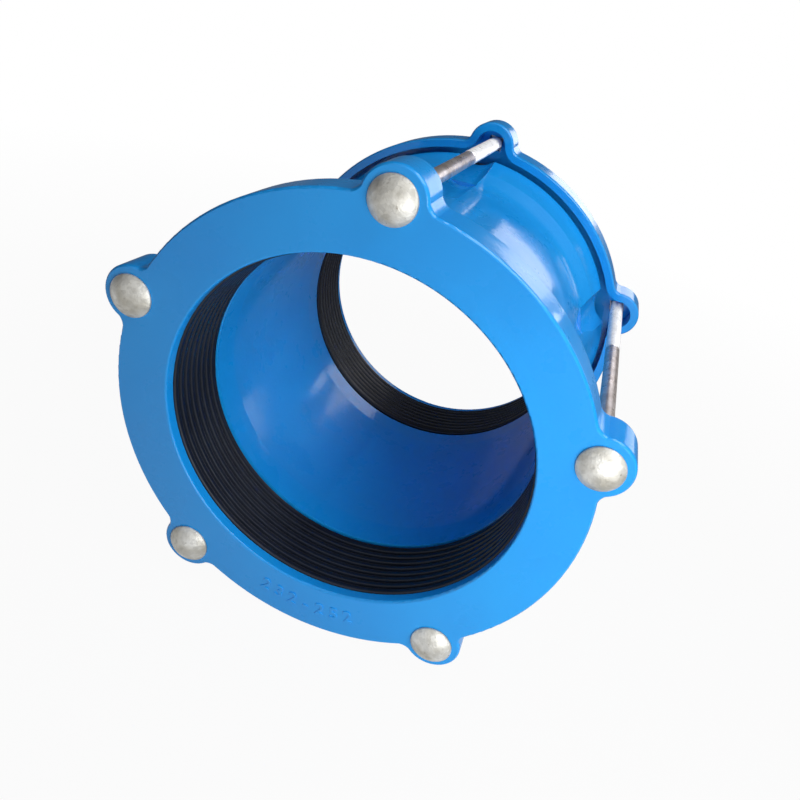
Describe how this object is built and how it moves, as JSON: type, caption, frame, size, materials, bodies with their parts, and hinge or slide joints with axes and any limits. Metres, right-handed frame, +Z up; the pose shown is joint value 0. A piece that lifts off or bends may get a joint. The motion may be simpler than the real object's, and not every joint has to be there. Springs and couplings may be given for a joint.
{
  "type": "flexible pipe coupling",
  "caption": "Wide-range flexible pipe coupling: a flared centre sleeve, an end ring with a rubber wedge gasket at each end, and long lug bolts that draw the rings together.",
  "frame": {"origin": "centre of the sleeve's bore, halfway between the two end rings", "axes": "Y along the pipe axis with the bolt heads at -Y and the nuts at +Y, +Z up through the top bolt, +X to the right seen from the bolt heads"},
  "size_m": [0.3616, 0.33, 0.3574],
  "materials": {
    "blue_epoxy": "glossy blue fusion-bonded epoxy on ductile iron",
    "rubber": "moulded black EPDM, satin",
    "bolt_zinc": "galvanised steel, mottled silver-white",
    "fastener_zinc": "zinc-plated steel"
  },
  "bodies": {
    "sleeve": {"centre_sleeve": "blue_epoxy", "front_gasket": "rubber", "rear_gasket": "rubber"},
    "front_ring": {"front_ring": "blue_epoxy", "bolt_1": "bolt_zinc", "bolt_2": "bolt_zinc", "bolt_3": "bolt_zinc", "bolt_4": "bolt_zinc", "bolt_5": "bolt_zinc"},
    "rear_ring": {"rear_ring": "blue_epoxy", "washer_1": "fastener_zinc", "washer_2": "fastener_zinc", "washer_3": "fastener_zinc", "washer_4": "fastener_zinc", "washer_5": "fastener_zinc"},
    "nut_1": {"nut_1": "fastener_zinc"},
    "nut_2": {"nut_2": "fastener_zinc"},
    "nut_3": {"nut_3": "fastener_zinc"},
    "nut_4": {"nut_4": "fastener_zinc"},
    "nut_5": {"nut_5": "fastener_zinc"}
  },
  "joints": [
    {"name": "front_ring_slide", "type": "slide", "parent": "sleeve", "child": "front_ring", "axis": [0, 1, 0], "range_m": [0, 0.014], "deforming": ["front_gasket"]},
    {"name": "rear_ring_slide", "type": "slide", "parent": "sleeve", "child": "rear_ring", "axis": [0, -1, 0], "range_m": [0, 0.014], "deforming": ["rear_gasket"]},
    {"name": "nut_1_turn", "type": "hinge", "parent": "rear_ring", "child": "nut_1", "pos_m": [0, 0.1569, 0.168], "axis": [0, -1, 0], "range_deg": [0, 5760]},
    {"name": "nut_2_turn", "type": "hinge", "parent": "rear_ring", "child": "nut_2", "pos_m": [-0.15978, 0.1569, 0.05192], "axis": [0, -1, 0], "range_deg": [0, 5760]},
    {"name": "nut_3_turn", "type": "hinge", "parent": "rear_ring", "child": "nut_3", "pos_m": [-0.09875, 0.1569, -0.13592], "axis": [0, -1, 0], "range_deg": [0, 5760]},
    {"name": "nut_4_turn", "type": "hinge", "parent": "rear_ring", "child": "nut_4", "pos_m": [0.09875, 0.1569, -0.13592], "axis": [0, -1, 0], "range_deg": [0, 5760]},
    {"name": "nut_5_turn", "type": "hinge", "parent": "rear_ring", "child": "nut_5", "pos_m": [0.15978, 0.1569, 0.05192], "axis": [0, -1, 0], "range_deg": [0, 5760]}
  ],
  "couplings": [
    {"joint": "rear_ring_slide", "follows": "front_ring_slide", "ratio": 1},
    {"joint": "nut_1_turn", "follows": "front_ring_slide", "rad_per_m": 7180.8},
    {"joint": "nut_2_turn", "follows": "front_ring_slide", "rad_per_m": 7180.8},
    {"joint": "nut_3_turn", "follows": "front_ring_slide", "rad_per_m": 7180.8},
    {"joint": "nut_4_turn", "follows": "front_ring_slide", "rad_per_m": 7180.8},
    {"joint": "nut_5_turn", "follows": "front_ring_slide", "rad_per_m": 7180.8}
  ]
}
